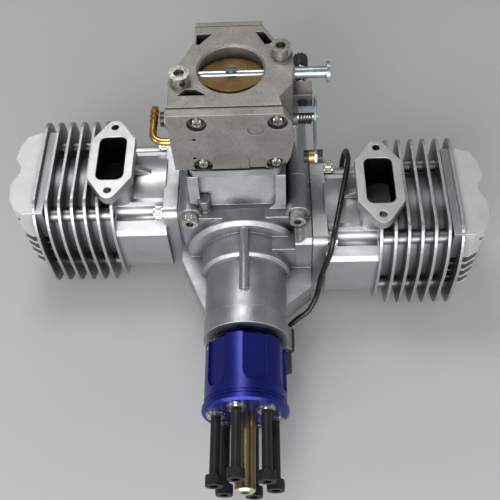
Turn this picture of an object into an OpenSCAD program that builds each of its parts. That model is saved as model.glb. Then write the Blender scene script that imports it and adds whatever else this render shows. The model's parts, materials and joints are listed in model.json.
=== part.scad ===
// Flat twin two-stroke petrol engine for a large model aircraft.
// Frame: origin at the centre of the rear mounting face, on the crank axis; -Y towards the propeller,
// +Z towards the exhausts and the carburettor's throat, X along the cylinders.

/* [Crank train] */
// Cylinder bore
bore_d = 49; // [46:0.5:49.5]
// Piston stroke
stroke = 29.5; // [27:0.5:30]
// Connecting rod length between centres
rod_l = 58; // [57:0.5:60]
// Distance of each cylinder's axis from the middle plane
cyl_offset = 10; // [9.5:0.25:11]
// Radius of the crank webs
web_r = 26; // [24.5:0.5:26]
// Thickness of the outer crank webs
web_t = 6.5; // [5.5:0.25:7]
// Width of a connecting rod's ends
rod_w = 12; // [11:0.25:12]
// Crankpin radius
crankpin_r = 7; // [6.5:0.25:7.5]
// Wrist pin radius
wrist_r = 6; // [5:0.25:6.5]
// Main shaft radius
shaft_r = 8.5; // [8:0.25:8.5]
// Height of a piston above its pin
crown_h = 20; // [18:0.5:20.5]

/* [Crankcase] */
// Distance from the mounting face to the middle plane between the cylinders
mount_dist = 62; // [60:1:70]
// Half width between the cylinders' seats
case_x = 36.3; // [36:0.1:37]
// Half height of the case's body
case_z = 31; // [30.5:0.5:32]
// Half spacing of the case screws across the engine
screw_x = 29; // [28.5:0.25:29.5]
// Half spacing of the case screws in height
screw_z = 30; // [29.5:0.25:30.5]
// Radius of the four corner tubes
tube_r = 6.5; // [6:0.25:7]
// Radius of the front collar
collar_r = 33; // [31:0.5:34]
// Radius of the nose tube
nose_r = 21.8; // [21:0.2:23]
// Front end of the nose, from the middle plane
nose_y = 82.9; // [80:0.5:86]
// Radius of the mounting posts
post_r = 6; // [5:0.25:6]
// Height of the intake block's top
block_z = 53.5; // [52:0.5:55]

/* [Cylinders] */
// Thickness of a cylinder's base flange
flange_t = 8; // [6:0.5:9]
// Outer radius of the barrel
barrel_r = 29; // [28:0.5:30]
// Number of cooling fins
fin_count = 7; // [5:1:7]
// Spacing of the fins
fin_pitch = 7; // [6.5:0.25:7]
// Thickness of a fin
fin_t = 1.5; // [1.25:0.25:2.5]
// Outer face of the last fin
fin_end = 115.6; // [115:0.2:117]
// Half width of the fins along the shaft
fin_y = 38.3; // [37:0.1:39]
// Half height of the fins
fin_z = 35; // [34:0.1:35.5]
// Outer end of the head
head_end = 131; // [129:0.5:133]
// Centre of the exhaust port from the crank axis
port_x = 72.7; // [72:0.1:73.5]
// Width of the exhaust port along the cylinder
port_w = 15.4; // [13:0.2:15.6]
// Length of the exhaust port across the cylinder
port_l = 30.6; // [26:0.2:32]
// Height of the exhaust flange's face
port_z = 41.8; // [41:0.1:43]
// Spacing of the exhaust flange's two holes
port_hole_gap = 44.8; // [43:0.2:46]
// Radius of the exhaust flange's holes
port_hole_r = 2.1; // [1.7:0.05:2.5]

/* [Propeller hub] */
// Radius of the hub's body
hub_r = 21; // [20.5:0.25:22]
// Front face of the hub, from the middle plane
hub_front = 124; // [122:0.5:128]
// Gap between the nose and the hub
hub_gap = 4.5; // [3:0.25:6]
// Diameter of the propeller bolts' circle
prop_pcd = 30; // [29:0.5:31]
// Radius of a propeller bolt's shank
prop_bolt_r = 2.5; // [2:0.25:2.5]
// Distance from the hub's face to the bolt heads' ends
prop_bolt_out = 36.2; // [30:0.5:40]
// Radius of the centre stud
stud_r = 5; // [4:0.25:5.5]

/* [Carburettor] */
// Throat's centre across the engine
throat_x = -3.2; // [-4:0.1:-2.5]
// Throat's centre along the shaft
throat_y = 16.3; // [15.5:0.1:17]
// Throat radius at the choke
throat_r = 16.2; // [15.5:0.1:16.5]
// Bore radius at the throttle
throttle_r = 14.3; // [13.5:0.1:14.5]
// Height of the body's underside
carb_z0 = 59.4; // [59:0.1:60]
// Height of the body's top face
carb_z1 = 99.5; // [99:0.1:101]
// Depth of the choke shaft below the top face
choke_depth = 4.3; // [4:0.1:5]
// Height of the throttle shaft
throttle_z = 64.5; // [64:0.1:66]
// Angle of the closed choke plate
choke_tilt = 14; // [8:1:18]
// Angle of the closed throttle plate
throttle_tilt = 12; // [8:1:16]
// Thickness of both plates
disc_t = 1.2; // [0.8:0.1:1.6]

/* [Fits] */
// Radial clearance of parts that turn or slide
run_fit = 0.05; // [0.03:0.01:0.08]
// Gap between solids of different bodies that don't fit together
free_gap = 0.3; // [0.25:0.05:0.35]

/* [Hidden] */
$fn = 48;
eps = 0.01;

crank_r = stroke / 2;
wrist_x = rod_l - crank_r;
bore_r = bore_d / 2;
piston_r = bore_r - run_fit;
crown_x = wrist_x + crown_h;
web_in = cyl_offset + rod_w / 2 + free_gap;
web_out = web_in + web_t;
centre_web_y = cyl_offset - rod_w / 2 - free_gap;
cavity_y = web_out + 0.5;
bigend_r = crankpin_r + 4.5;
roller_r = 1.2;
needle_r = crankpin_r + 2 * roller_r + 0.1;
swing = asin(crank_r / rod_l);
cavity_round = bigend_r + 0.5;
cavity_x = crank_r + 2.1;
cavity_z = crank_r + 0.2;

bearing_w = 12;
bearing_or = 20;
front_bearing_w = 10;
front_bearing_or = 17.5;
bearing_y = cavity_y + 0.5;
seal_or = 15;

spigot_r = bore_r + 1.35;
spigot_x = case_x - 6;
gasket_t = 0.5;
flange_x0 = case_x + gasket_t;
flange_x1 = flange_x0 + flange_t;
flange_y = 28.8;
flange_z = 27;
flange_round = 5;
pad_chamfer = 2.5;
base_screw_y = flange_y - 4.4;
base_screw_z = flange_z - 4.2;
head_in = crown_x + stroke + 0.8;
stand_seat = cyl_offset + flange_y + 0.3;
screw_seat = -22.9;

// Fastener sizes
m5_r = 2.5;
m5_clear = 0.25;
m5_head_r = 4.25;
m5_head_h = 5;

module from_mount() {
    translate([0, -mount_dist, 0]) children();
}

// A rod along Y, from y0 to y1
module rod_y(r, y0, y1, r2 = undef) {
    translate([0, y0, 0]) rotate([-90, 0, 0]) cylinder(r1 = r, r2 = is_undef(r2) ? r : r2, h = y1 - y0);
}

// A rod along X, from x0 to x1
module rod_x(r, x0, x1, r2 = undef) {
    translate([x0, 0, 0]) rotate([0, 90, 0]) cylinder(r1 = r, r2 = is_undef(r2) ? r : r2, h = x1 - x0);
}

// An outline in X and Z, extruded from y0 to y1
module slab_y(points, y0, y1) {
    translate([0, y1, 0]) rotate([90, 0, 0]) linear_extrude(y1 - y0) polygon(points);
}

// An outline in Y and Z, extruded from x0 to x1
module slab_x(points, x0, x1) {
    translate([x0, 0, 0]) rotate([90, 0, 90]) linear_extrude(x1 - x0) polygon(points);
}

module slab_z(points, z0, z1) {
    translate([0, 0, z0]) linear_extrude(z1 - z0) polygon(points);
}

module box(a, b) {
    translate(a) cube(b - a);
}

// Points of a rectangle of half sizes a and b with rounded corners
function round_rect(a, b, r, n = 6) = [for (q = [0:3]) for (i = [0:n])
    let(t = 90 * q + 90 * i / n, sx = (q == 0 || q == 3) ? 1 : -1, sy = q < 2 ? 1 : -1)
    [sx * (a - r) + r * cos(t), sy * (b - r) + r * sin(t)]];

function arc_points(c, rx, rz, a0, a1, n) = [for (i = [0:n]) let(a = a0 + (a1 - a0) * i / n)
    [c[0] + rx * cos(a), c[1] + rz * sin(a)]];

function shifted(points, dx, dy) = [for (p = points) [p[0] + dx, p[1] + dy]];

// Copies at points given in X and Z
module at_points(points) {
    for (p = points) translate([p[0], 0, p[1]]) children();
}

module ring_y(r_out, r_in, y0, y1) {
    difference() {
        rod_y(r_out, y0, y1);
        rod_y(r_in, y0 - 1, y1 + 1);
    }
}

// A socket head screw along Y: its head's seat at y = 0, its shank towards +Y
module socket_screw(r, head_r, head_h, length) {
    difference() {
        union() {
            rod_y(head_r, -head_h, 0);
            rod_y(r, -eps, length);
        }
        translate([0, -head_h - eps, 0]) rotate([-90, 0, 0])
            cylinder(r = head_r * 0.55, h = head_h * 0.6, $fn = 6);
    }
}

// Closes a swept skin with a face at each end
function capped(sides, last, n) =
    concat([[for (k = [0:n - 1]) k]], sides, [[for (k = [0:n - 1]) (last + 1) * n - 1 - k]]);

// A wire helix along +Z, from z = 0
module coil_spring(coil_r, wire_r, length, turns, steps = 14, n = 6) {
    count = turns * steps;
    rings = [for (i = [0:count]) let(t = 360 * i / steps, z = length * i / count)
        for (k = [0:n - 1]) let(a = 360 * k / n)
        [(coil_r + wire_r * cos(a)) * cos(t), (coil_r + wire_r * cos(a)) * sin(t), z + wire_r * sin(a)]];
    sides = [for (i = [0:count - 1]) for (k = [0:n - 1]) let(a = i * n + k, b = i * n + (k + 1) % n)
        [a, a + n, b + n, b]];
    polyhedron(rings, capped(sides, count, n));
}

// Crankcase

module corner_tubes(y0, y1, r) {
    for (sx = [-1, 1], sz = [-1, 1]) translate([sx * screw_x, 0, sz * screw_z]) rod_y(r, y0, y1);
}

// Side pads that the cylinders' flanges bolt to; each is centred on its own cylinder
module side_pads(y_min, y_max) {
    for (side = [-1, 1]) {
        y0 = max(y_min, -side * cyl_offset - flange_y);
        y1 = min(y_max, -side * cyl_offset + flange_y);
        c = pad_chamfer;
        slab_x([[y0, -flange_z + c], [y0 + c, -flange_z], [y1 - c, -flange_z], [y1, -flange_z + c],
            [y1, flange_z - c], [y1 - c, flange_z], [y0 + c, flange_z], [y0, flange_z - c]],
            side > 0 ? case_x - 9 : -case_x, side > 0 ? case_x : -case_x + 9);
    }
}

module case_core(y0, y1) {
    slab_y(round_rect(case_x - 2.5, case_z, 9), y0, y1);
}

intake_y0 = -14.5;
intake_y1 = 47;
intake_x0 = -28.5;
intake_x1 = 22.8;
passage_x = 16;
passage_y0 = 3;
passage_y1 = 30;
// The reed cage's plate sits in a step around the passage
plate_rim = 2.2;
plate_z = block_z - 3;
screw_depth = 9;

face_lean = atan(6 / (block_z - case_z + 6));
recess_depth = 3.4;
recess_half = (intake_x1 - intake_x0) / 2 - 5.5;
recess_h = block_z - case_z + 1;
recess_outline = concat([[-recess_half, 3]],
    arc_points([-recess_half + 6, -recess_h + 6], 6, 6, 180, 270, 6),
    arc_points([recess_half - 6, -recess_h + 6], 6, 6, 270, 360, 6), [[recess_half, 3]]);

// Block under the carburettor; its front face leans back as it rises
module intake_block() {
    difference() {
        translate([(intake_x0 + intake_x1) / 2, 0, 0])
            slab_x([[intake_y0 - 6, case_z - 6], [intake_y0, block_z], [intake_y1 - 4, block_z],
                [intake_y1 - 7, case_z - 6]], (intake_x0 - intake_x1) / 2, (intake_x1 - intake_x0) / 2);
        // Recessed front panel, open at the top, with round lower corners; it leans with the front face
        translate([(intake_x0 + intake_x1) / 2, intake_y0, block_z]) rotate([-face_lean, 0, 0])
            translate([0, recess_depth, 0]) rotate([90, 0, 0]) linear_extrude(20) polygon(recess_outline);
    }
}

// Space for the webs and for the rods' big ends
module crank_cavity() {
    slab_y(round_rect(cavity_x + cavity_round, cavity_z + cavity_round, cavity_round, 10),
        -cavity_y, cavity_y);
}

module passage() {
    translate([throat_x, 0, 0]) {
        box([-passage_x, passage_y0, case_z - 4.5], [passage_x, passage_y1, block_z + 1]);
        box([-passage_x, passage_y0, case_z - 10], [passage_x, cavity_y, case_z]);
        box([-passage_x - plate_rim, passage_y0 - plate_rim, plate_z],
            [passage_x + plate_rim, passage_y1 + plate_rim, block_z + 1]);
    }
}

module cylinder_holes() {
    for (side = [-1, 1]) translate([0, -side * cyl_offset, 0]) mirror([side > 0 ? 0 : 1, 0, 0]) {
        rod_x(spigot_r + 0.02, spigot_x - 0.3, case_x + 1);
        rod_x(piston_r + 0.4, wrist_x - 16.5, case_x);
        for (sy = [-1, 1], sz = [-1, 1]) translate([0, sy * base_screw_y, sz * base_screw_z])
            rod_x(m5_r + 0.02, case_x - 7, case_x + 1);
    }
}

module case_body() {
    difference() {
        children();
        crank_cavity();
        cylinder_holes();
        corner_tubes(-60, stand_seat + 1, m5_r + m5_clear);
    }
}

ledge_y = 38.5;
rib_half = 2.1;
rib_end = 63.5;
rib_rise = 6.4;
rib_fall = 0.4;
rib_slope = atan((rib_rise + rib_fall) / 46);

module nose() {
    rod_y(collar_r, -28, -20);
    rod_y(collar_r - 2, -30, -28 + eps, collar_r);
    rod_y(nose_r + 3, -42.8, -27);
    rod_y(nose_r + 1.4, -44.2, -42.8 + eps, nose_r + 3);
    rod_y(nose_r, -nose_y, -40);
    rod_y(nose_r + 0.6, -nose_y, -72.6);
    // Top rib
    intersection() {
        slab_x([[-24, 18], [-70, 18], [-70, nose_r - rib_fall], [-24, nose_r + rib_rise]], -5, 5);
        slab_z([[-rib_half, -24], [-rib_half, -rib_end], [-1, -rib_end - 1.6], [1, -rib_end - 1.6],
            [rib_half, -rib_end], [rib_half, -24]], 17, 40);
    }
    intersection() {
        translate([0, -26, nose_r + rib_rise - 1.1]) rotate([90 + rib_slope, 0, 0]) cylinder(r = 2.5, h = 60);
        slab_z([[-4, -24], [-4, -rib_end + 1], [0, -rib_end - 1.2], [4, -rib_end + 1], [4, -24]], 17, 40);
    }
    // Flanks at the sides, down from the pads' front corners
    slab_z([[-nose_r + 6, -70], [-nose_r + 0.5, -66.5], [-case_x + 0.4, cyl_offset - flange_y - 14],
        [-case_x, cyl_offset - flange_y + 2], [-20, -18]], -14, 2);
    slab_z([[nose_r - 6, -66], [nose_r - 0.5, -63], [case_x - 0.4, -cyl_offset - flange_y - 12],
        [case_x, -cyl_offset - flange_y + 2], [20, -18]], -14, 2);
    // Raised ledge beside the collar
    box([13.5, -ledge_y, -4], [case_x - 8, -22, 20]);
}

module crankcase_front() {
    color([0.74, 0.75, 0.76]) difference() {
        case_body() {
            union() {
                case_core(-25, 0);
                side_pads(-60, 0);
                corner_tubes(screw_seat, 0, tube_r);
                nose();
                intersection() {
                    intake_block();
                    box([-60, -60, 0], [60, 0, 80]);
                }
                // Small lug beside the recess
                translate([intake_x0 + 7.5, intake_y0 - 3.4, case_z - 3]) cylinder(r = 3.2, h = 11.5);
                // Flat pad under the ignition sensor
                sensor_place() box([-sensor_half, -3.5, -6], [sensor_half, 10, 0]);
            }
        }
        passage();
        sensor_place() for (s = [-1, 1]) translate([s * sensor_screw_x, 0, -4.5]) cylinder(r = 1.5, h = 6);
        corner_tubes(-60, screw_seat, m5_head_r + 0.5);
        rod_y(bearing_or + 0.01, -bearing_y - bearing_w, -cavity_y + 1);
        rod_y(seal_or + 0.01, -bearing_y - bearing_w - 7, -bearing_y - bearing_w + 1);
        rod_y(shaft_r + 3, -nose_y + 5, -bearing_y - bearing_w);
        rod_y(front_bearing_or + 0.01, -nose_y - 1, -nose_y + front_bearing_w + 0.5);
    }
}

module crankcase_rear() {
    color([0.72, 0.73, 0.74]) difference() {
        case_body() {
            union() {
                case_core(0, 25);
                side_pads(0, 60);
                corner_tubes(0, stand_seat, tube_r);
                rod_y(collar_r - 3, 20, 32);
                rod_y(collar_r - 8, 30, bearing_y + bearing_w + 5);
                for (a = [45:90:315]) rotate([0, a, 0]) box([-2, 20, 20], [2, 34, collar_r + 6]);
                intersection() {
                    intake_block();
                    box([-60, 0, 0], [60, 60, 80]);
                }
                carb_screw_bosses(case_z - 3, block_z, collar_out);
            }
        }
        passage();
        carb_screw_places() translate([0, 0, block_z - screw_depth]) cylinder(r = m6_r + 0.02, h = 20);
        corner_tubes(stand_seat, 60, post_r + 0.9);
        rod_y(bearing_or + 0.01, cavity_y - 1, bearing_y + bearing_w);
        rod_y(shaft_r + 3, cavity_y, bearing_y + bearing_w + 2);
    }
}

// Four screws through both halves, and the two that hold the ignition sensor
module case_screws() {
    color([0.62, 0.62, 0.6]) {
        for (sx = [-1, 1], sz = [-1, 1]) translate([sx * screw_x, screw_seat, sz * screw_z])
            socket_screw(m5_r, m5_head_r, m5_head_h, stand_seat - 18 - screw_seat);
        sensor_place() for (s = [-1, 1]) translate([s * sensor_screw_x, 0, sensor_foot_t])
            sensor_screw();
    }
}

module standoffs() {
    color([0.66, 0.67, 0.68]) for (sx = [-1, 1], sz = [-1, 1]) translate([sx * screw_x, 0, sz * screw_z])
        difference() {
            union() {
                rod_y(post_r, stand_seat, mount_dist);
                rod_y(m5_r, stand_seat - 12, stand_seat + eps);
            }
            rod_y(m5_r, mount_dist - 15, mount_dist + 1);
        }
}

// Ignition sensor, under the nose on the right, its foot on a flat pad of the nose
sensor_angle = 140;
sensor_y = 79;
sensor_foot_t = 2.5;
sensor_screw_x = 7.8;
sensor_half = 11;
sensor_pad = 24.6;

module sensor_place() {
    rotate([0, sensor_angle, 0]) translate([0, -sensor_y, sensor_pad]) children();
}

module sensor_screw() {
    difference() {
        cylinder(r = 2.6, h = 2);
        translate([0, 0, 1]) cylinder(r = 1.3, h = 2, $fn = 6);
    }
    translate([0, 0, -6]) cylinder(r = 1.45, h = 6 + eps);
}

// Intake passage: gaskets, reed valve, adapter plate

reed_z0 = 31;
reed_z1 = plate_z + eps;
function reed_front(z) = 14.5 - (z - reed_z0) * 11.5 / (reed_z1 - reed_z0);
function reed_back(z) = 2 * throat_y + 0.4 - reed_front(z);
adapter_z0 = block_z + 0.8;
adapter_z1 = carb_z0 - 0.6;
adapter_outline = shifted(round_rect(24, 31, 4), throat_x, intake_y0 + 30.5);

module case_gaskets() {
    color([0.12, 0.12, 0.12]) {
        difference() {
            union() {
                slab_z(shifted(round_rect(23.5, 30, 4), throat_x, intake_y0 + 31), block_z, adapter_z0);
                carb_screw_bosses(block_z, adapter_z0, collar_out - 0.3);
            }
            translate([throat_x, 0, 0]) box([-passage_x, passage_y0, 0], [passage_x, passage_y1, 80]);
            carb_screw_places() cylinder(r = m6_r + 0.3, h = 80);
        }
        for (side = [-1, 1]) translate([0, -side * cyl_offset, 0]) mirror([side > 0 ? 0 : 1, 0, 0])
            difference() {
                slab_x(round_rect(flange_y - 0.2, flange_z - 0.2, flange_round), case_x, flange_x0);
                rod_x(spigot_r + 0.02, case_x - 1, flange_x0 + 1);
                for (sy = [-1, 1], sz = [-1, 1]) translate([0, sy * base_screw_y, sz * base_screw_z])
                    rod_x(m5_r + m5_clear, case_x - 1, flange_x0 + 1);
            }
    }
}

module reed_cage() {
    color([0.15, 0.15, 0.16]) translate([throat_x, 0, 0]) difference() {
        union() {
            slab_x([[reed_front(reed_z0), reed_z0], [reed_back(reed_z0), reed_z0],
                [reed_back(reed_z1), reed_z1], [reed_front(reed_z1), reed_z1]], -13, 13);
            box([-passage_x - plate_rim + 0.1, passage_y0 - plate_rim + 0.1, plate_z],
                [passage_x + plate_rim - 0.1, passage_y1 + plate_rim - 0.1, block_z]);
        }
        slab_x([[throat_y - 0.3, reed_z0 + 4], [throat_y + 0.3, reed_z0 + 4],
            [reed_back(reed_z1) - 2, block_z + 1], [reed_front(reed_z1) + 2, block_z + 1]], -11.5, 11.5);
        for (x = [-11, -3, 5]) box([x, -10, reed_z0 + 6], [x + 6, 50, reed_z1 - 5]);
    }
}

module reed_petals() {
    color([0.1, 0.1, 0.1]) translate([throat_x, 0, 0]) {
        slab_x([for (p = [[-0.1, 3], [-0.1, 18.5], [-0.5, 18.5], [-0.5, 3]])
            [reed_front(reed_z0 + p[1]) + p[0], reed_z0 + p[1]]], -12, 12);
        slab_x([for (p = [[0.1, 3], [0.1, 18.5], [0.5, 18.5], [0.5, 3]])
            [reed_back(reed_z0 + p[1]) + p[0], reed_z0 + p[1]]], -12, 12);
    }
}

module adapter_plate() {
    color([0.78, 0.78, 0.77]) difference() {
        union() {
            slab_z(adapter_outline, adapter_z0, adapter_z1);
            carb_screw_bosses(adapter_z0, adapter_z1, collar_out);
        }
        translate([throat_x, throat_y, adapter_z0 - 1]) cylinder(r = throttle_r + 0.2, h = 10);
        carb_screw_places() translate([0, 0, adapter_z0 - 1]) cylinder(r = m6_r + 0.3, h = 10);
    }
}

// Carburettor

carb_screw_dx = 24.6;
carb_screw_dy = 8.5;
carb_front = -9;
carb_back = 46.6;
cover_gap = 1;
cover_t = 4.5;
m6_r = 2.9;
m6_head_r = 5;
collar_out = 6.2;
cover_screw_r = 1.5;
cover_hole_r = cover_screw_r + 0.1;
cover_screw_l = 7;
choke_z = carb_z1 - choke_depth;
choke_r = 2.4;
pin_r = 2.85;
throttle_shaft_r = 3;
venturi_r = 12.5;
idle_x = 32;
idle_z = 79;
elbow_z = 65;
elbow_r = 2;
throttle_plate_r = throttle_r - free_gap;
choke_plate_r = throat_r - free_gap;

module carb_screw_places() {
    for (s = [-1, 1]) translate([throat_x + s * carb_screw_dx, throat_y + s * carb_screw_dy, 0]) children();
}

// Round ears around the two long screws, from z0 to z1
module carb_screw_bosses(z0, z1, r) {
    carb_screw_places() translate([0, 0, z0]) cylinder(r = r, h = z1 - z0);
}

carb_outline = [[-33.4, carb_front], [21.4, carb_front], [20.4, -3], [26.6, 5], [27.4, 15], [27, 26],
    [22, 33], [18.4, 36], [12.7, carb_back], [-22, carb_back], [-22, 36], [-25.5, 27], [-31, 17], [-33.4, 4]];

module carb_gaskets() {
    color([0.1, 0.1, 0.1]) {
        difference() {
            union() {
                slab_z(shifted(round_rect(23, 27, 4), throat_x, throat_y + 1.5), adapter_z1, carb_z0);
                carb_screw_bosses(adapter_z1, carb_z0, collar_out - 0.3);
            }
            translate([throat_x, throat_y, 0]) cylinder(r = throttle_r + 0.2, h = 80);
            carb_screw_places() cylinder(r = m6_r + 0.3, h = 80);
        }
        difference() {
            slab_y(pump_outline, carb_front - cover_gap, carb_front);
            at_points(pump_screws) rod_y(cover_hole_r, carb_front - 5, carb_front + 5);
        }
        difference() {
            slab_y(metering_outline, carb_back, carb_back + cover_gap);
            at_points(metering_screws) rod_y(cover_hole_r, carb_back - 5, carb_back + 5);
        }
    }
}

module carb_body() {
    color([0.6, 0.59, 0.57]) difference() {
        union() {
            slab_z(carb_outline, carb_z0, carb_z1);
            carb_screw_bosses(carb_z0, carb_z1, collar_out);
            // Boss for the idle screw and boss for the throttle shaft
            box([24, 12, idle_z - 8], [idle_x + 5, 22, idle_z + 5]);
            translate([0, throat_y, throttle_z]) rod_x(5, 20, 29.5);
            translate([0, throat_y, throttle_z]) rod_x(5, -40.2, -30);
            translate([0, throat_y, choke_z]) rod_x(4.2, 20, 28);
        }
        translate([throat_x, throat_y, 0]) {
            translate([0, 0, carb_z0 - 1]) cylinder(r = throttle_r, h = throttle_z + 9 - carb_z0 + 1);
            translate([0, 0, throttle_z + 8.5]) cylinder(r1 = throttle_r, r2 = venturi_r, h = 6);
            translate([0, 0, throttle_z + 13.5]) cylinder(r = venturi_r, h = carb_z1 - 18 - throttle_z - 13.5);
            translate([0, 0, carb_z1 - 18.5]) cylinder(r1 = venturi_r, r2 = throat_r, h = 4.5);
            translate([0, 0, carb_z1 - 14.5]) cylinder(r = throat_r, h = 20);
            translate([0, 0, carb_z1 - 1]) cylinder(r1 = throat_r, r2 = throat_r + 1.5, h = 1.5);
        }
        carb_screw_places() translate([0, 0, carb_z0 - 1])
            cylinder(r = m6_r + 0.3, h = carb_z1 - carb_z0 + 2);
        translate([0, throat_y, choke_z]) {
            rod_x(choke_r + run_fit, -24, 24);
            rod_x(pin_r + run_fit, 16, 40);
        }
        translate([0, throat_y, throttle_z]) rod_x(throttle_shaft_r + run_fit, -50, 50);
        // Cast pockets in the top
        slab_z([[-21, 41], [-13, 41.5], [-19.5, 33.5], [-21, 34]], carb_z1 - 14, carb_z1 + 1);
        slab_z([[9, 42], [13, 42], [18, 33.5], [13.5, 32.5]], carb_z1 - 14, carb_z1 + 1);
        slab_z([[-29, -1.5], [-14.5, -1.5], [-20, 2.5], [-25, 3]], carb_z1 - 14, carb_z1 + 1);
        translate([idle_x, 0, idle_z]) rod_y(2.05, 0, 40);
        translate([0, 0, elbow_z]) rod_x(elbow_r + 0.02, -34, -26);
        at_points(pump_screws) rod_y(cover_hole_r, carb_front - 1, carb_front + 5);
        at_points(metering_screws) rod_y(cover_hole_r, carb_back - 4, carb_back + 1);
    }
}

pump_outline = [[-33.6, carb_z0 + 0.4], [22, carb_z0 + 0.4], [25.4, carb_z0 + 8.6],
    [27.2, (carb_z0 + carb_z1) / 2 + 0.5], [25.9, carb_z1 - 7], [21.9, carb_z1 - 0.2], [-34, carb_z1 - 0.2]];
pump_screw_top = carb_z1 - 6.5;
pump_screw_low = carb_z0 + 3.2;
pump_screws = [[-19.6, pump_screw_top], [19.1, pump_screw_top], [-19, pump_screw_low], [18.1, pump_screw_low]];
metering_outline = [[-21, carb_z0 + 6], [10, carb_z0 + 6], [12.5, carb_z0 + 12], [12.5, carb_z1 - 0.5],
    [-22, carb_z1 - 0.5], [-22, carb_z0 + 9]];
metering_screws = [[-18, carb_z1 - 4.5], [9, carb_z1 - 4.5], [-17.5, carb_z0 + 9.6], [8.5, carb_z0 + 9.6]];

metering_z = (carb_z0 + carb_z1) / 2 + 2.5;

module pump_cover() {
    y1 = carb_front - cover_gap;
    y0 = y1 - cover_t;
    color([0.68, 0.66, 0.63]) difference() {
        slab_y(pump_outline, y0, y1);
        at_points(pump_screws) {
            rod_y(4.9, y0 - 1, y0 + 2.6);
            rod_y(cover_hole_r, y0, y1 + 1);
        }
        at_points([[-21.8, carb_z1 - 17.2], [-22.8, carb_z0 + 9.1]]) rod_y(0.9, y0 - 1, y0 + 2);
        // Two shallow round recesses, the lower one open at the bottom edge
        translate([8.5, 0, carb_z1 - 11]) rod_y(4.1, y0 - 1, y0 + 0.7);
        translate([8.6, 0, carb_z0 + 7.1]) rod_y(4.4, y0 - 1, y0 + 0.7);
        box([8.6 - 4.4, y0 - 1, carb_z0 - 1], [8.6 + 4.4, y0 + 0.7, carb_z0 + 7.1]);
    }
}

module metering_cover() {
    y0 = carb_back + cover_gap;
    color([0.66, 0.65, 0.63]) difference() {
        union() {
            slab_y(metering_outline, y0, y0 + 3);
            translate([-4.5, 0, metering_z]) rod_y(12, y0, y0 + 5.5);
        }
        translate([-4.5, 0, metering_z]) rod_y(1.2, y0 - 1, y0 + 9);
        at_points(metering_screws) rod_y(cover_hole_r, y0 - 1, y0 + 9);
    }
}

// Pan head screw along Y, head towards -Y, seat at y = 0
module pan_screw(length) {
    difference() {
        union() {
            rod_y(3.1, -1, 0);
            rod_y(2.2, -2.1, -1 + eps, 3.1);
            rod_y(cover_screw_r, -eps, length);
        }
        for (a = [0, 90]) rotate([0, a, 0]) box([-0.35, -3, -1.7], [0.35, -1, 1.7]);
    }
}

module carb_cover_screws() {
    y0 = carb_front - cover_gap - cover_t;
    color([0.8, 0.8, 0.78]) {
        translate([0, y0 + 2.6, 0]) at_points(pump_screws) pan_screw(cover_screw_l);
        translate([0, carb_back + cover_gap + 3, 0]) at_points(metering_screws)
            rotate([0, 0, 180]) pan_screw(cover_screw_l);
    }
}

// Barbed brass inlet: out of the body, round a bend and back towards the mounting face
module fuel_elbow() {
    bend = 6.5;
    color([0.72, 0.52, 0.2]) difference() {
        union() {
            translate([0, 0, elbow_z]) {
                rod_x(elbow_r, -39.5, -26);
                rod_x(3.4, -35, carb_outline[0][0]);
                translate([-39.5, bend, 0]) rotate([0, 0, 180]) rotate_extrude(angle = 90)
                    translate([bend, 0]) circle(elbow_r);
            }
            translate([-39.5 - bend, 0, elbow_z]) {
                rod_y(elbow_r, bend, 24);
                for (y = [14, 17.5, 21]) rod_y(elbow_r + 0.5, y, y + 2.5, elbow_r);
            }
        }
        translate([-39.5 - bend, 0, elbow_z]) rod_y(1.1, 10, 25);
    }
}

module carb_mount_screws() {
    color([0.75, 0.74, 0.7]) carb_screw_places() translate([0, 0, carb_z1]) rotate([-90, 0, 0])
        socket_screw(m6_r, m6_head_r, 6, carb_z1 - block_z + screw_depth - 1);
}

// Choke: the pin and shaft turn about X with the brass plate

module choke_tilted() {
    translate([throat_x, throat_y, choke_z]) rotate([-choke_tilt, 0, 0]) children();
}

module choke_shaft() {
    color([0.72, 0.76, 0.78]) difference() {
        union() {
            translate([0, throat_y, choke_z]) {
                rod_x(choke_r, -23.5, 20);
                rod_x(pin_r, 16.5, 43.7);
                rod_x(5.15, 43.7 - eps, 45.2);
            }
        }
        choke_tilted() {
            translate([0, 0, -disc_t / 2 - 0.02]) cylinder(r = choke_plate_r + 0.2, h = disc_t + 0.04);
            translate([0, 0, -10]) cylinder(r = 1.25, h = 20);
        }
    }
}

module choke_plate() {
    color([0.78, 0.6, 0.3]) choke_tilted() difference() {
        translate([0, 0, -disc_t / 2]) cylinder(r = choke_plate_r, h = disc_t);
        translate([0, 0, -10]) cylinder(r = 1.25, h = 20);
    }
}

// A plate's screw: the head sits on the shaft, the shank passes through the plate
module plate_screw(r_shaft) {
    difference() {
        union() {
            translate([0, 0, r_shaft]) cylinder(r = 2.9, h = 1.3);
            translate([0, 0, -r_shaft]) cylinder(r = 1.2, h = 2 * r_shaft + eps);
        }
        translate([-4, -0.4, r_shaft + 0.7]) cube([8, 0.8, 2]);
    }
}

module choke_screw() {
    color([0.72, 0.76, 0.78]) choke_tilted() plate_screw(choke_r + 0.02);
}

// Throttle: shaft, plate, lever with its link screw, and return spring

lever_x = 38;
lever_t = 1.2;
link_y = -4.6;
link_z = 56;

module throttle_tilted() {
    translate([throat_x, throat_y, throttle_z]) rotate([throttle_tilt, 0, 0]) children();
}

module throttle_shaft() {
    color([0.62, 0.63, 0.64]) difference() {
        translate([0, throat_y, throttle_z]) {
            rod_x(throttle_shaft_r, -40.5, lever_x);
            rod_x(2, lever_x - eps, lever_x + lever_t + 1);
            rod_x(4, -42.5, -40.5 + eps);
        }
        throttle_tilted() {
            translate([0, 0, -disc_t / 2 - 0.02]) cylinder(r = throttle_plate_r + 0.2, h = disc_t + 0.04);
            translate([0, 0, -10]) cylinder(r = 1.25, h = 20);
        }
    }
}

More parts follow.
